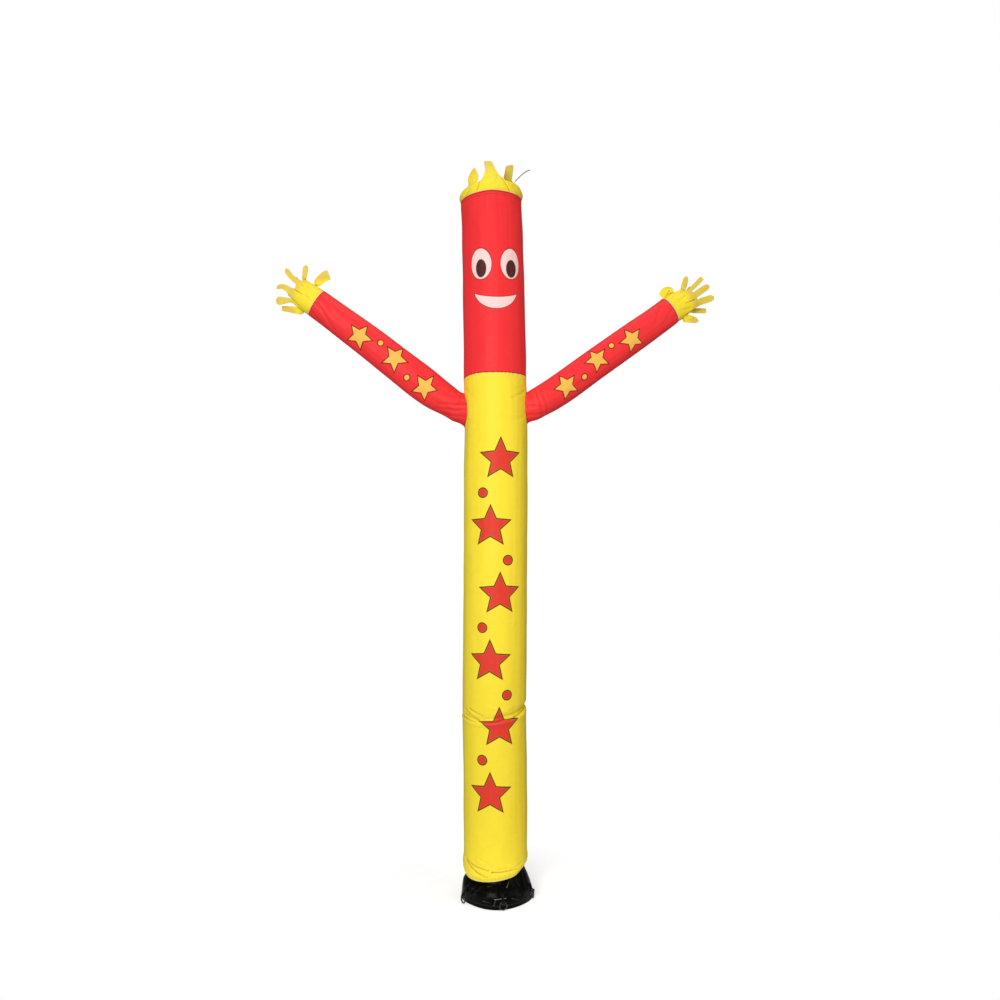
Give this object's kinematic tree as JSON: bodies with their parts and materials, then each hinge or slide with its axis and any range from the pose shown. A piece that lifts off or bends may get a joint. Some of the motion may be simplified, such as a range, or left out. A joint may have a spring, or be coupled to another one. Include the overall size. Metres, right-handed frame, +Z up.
{
  "type": "inflatable tube man",
  "caption": "Inflatable tube man: a tall yellow cloth tube with a red head and red sleeves, strip-cut hands and hair, and a black collar that ties over a blower",
  "frame": {"origin": "on the ground under the middle of the whole, hands included", "axes": "+Z up the tube, +X to the right as seen from the front, -Y out of the printed front"},
  "size_m": [1.8053, 0.3029, 3.062],
  "materials": {
    "yellow_cloth": "thin plain-woven polyester, slightly glossy",
    "red_cloth": "thin plain-woven polyester, slightly glossy",
    "black_cloth": "coated, semi-gloss",
    "black_webbing": "woven tape, matt",
    "ring_metal": "black, semi-gloss",
    "brown_cord": "matt"
  },
  "bodies": {
    "root": {"collar": "black_cloth", "body_tube": "yellow_cloth", "head_tube": "red_cloth", "hair": "yellow_cloth", "arm_left": "red_cloth", "arm_right": "red_cloth", "hand_left": "yellow_cloth", "hand_right": "yellow_cloth", "hair_cord": "brown_cord", "tab_1": "black_webbing", "ring_1": "ring_metal", "tab_2": "black_webbing", "ring_2": "ring_metal", "tab_3": "black_webbing", "ring_3": "ring_metal", "tab_4": "black_webbing", "ring_4": "ring_metal", "tab_5": "black_webbing", "ring_5": "ring_metal"}
  },
  "joints": []
}
